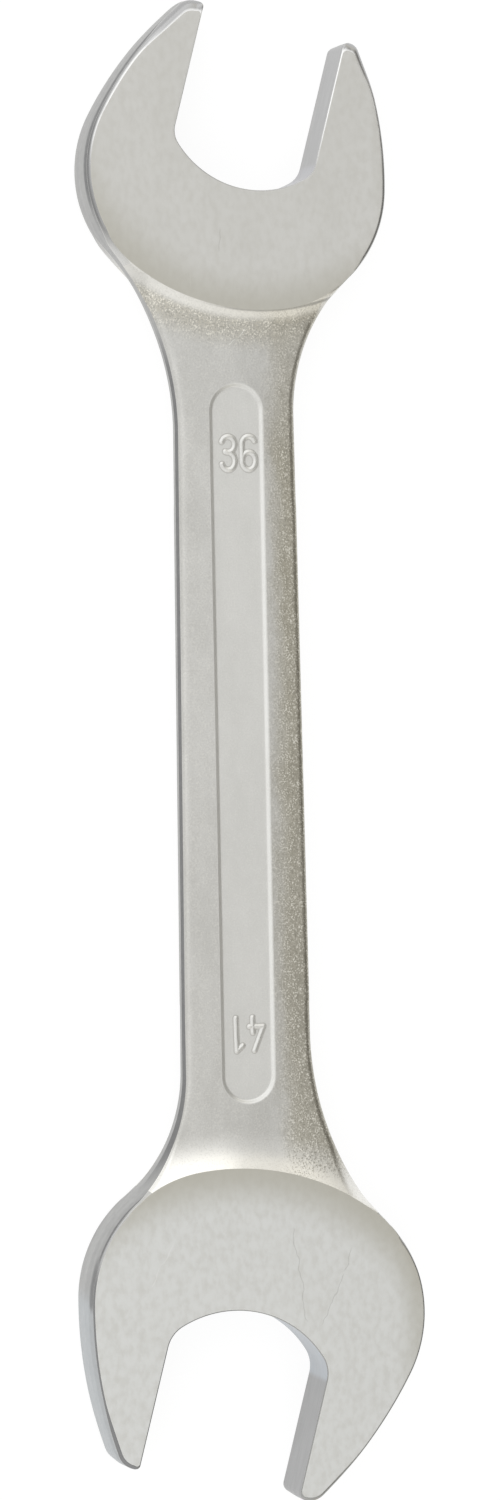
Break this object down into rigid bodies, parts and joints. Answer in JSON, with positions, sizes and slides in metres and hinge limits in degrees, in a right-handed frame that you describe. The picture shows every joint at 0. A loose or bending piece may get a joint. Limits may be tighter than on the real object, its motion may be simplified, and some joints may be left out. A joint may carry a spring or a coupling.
{
  "type": "open end wrench",
  "caption": "Long flat forged steel wrench with an open jaw at each end, both turned 15 degrees from the shank, for turning 36 mm and 41 mm hexagon nuts and bolt heads.",
  "frame": {"origin": "centre of the bounding box in plan, on the plane that the thicker head lies on", "axes": "+X along the shank towards the 36 mm head; +Y to the left of someone who looks down on the front face with the 36 mm head at the top; +Z out of the front face, through the thickness"},
  "size_m": [0.3626, 0.0842, 0.0147],
  "materials": {
    "steel": "satin"
  },
  "bodies": {
    "root": {"wrench_forging": "steel"}
  },
  "joints": []
}
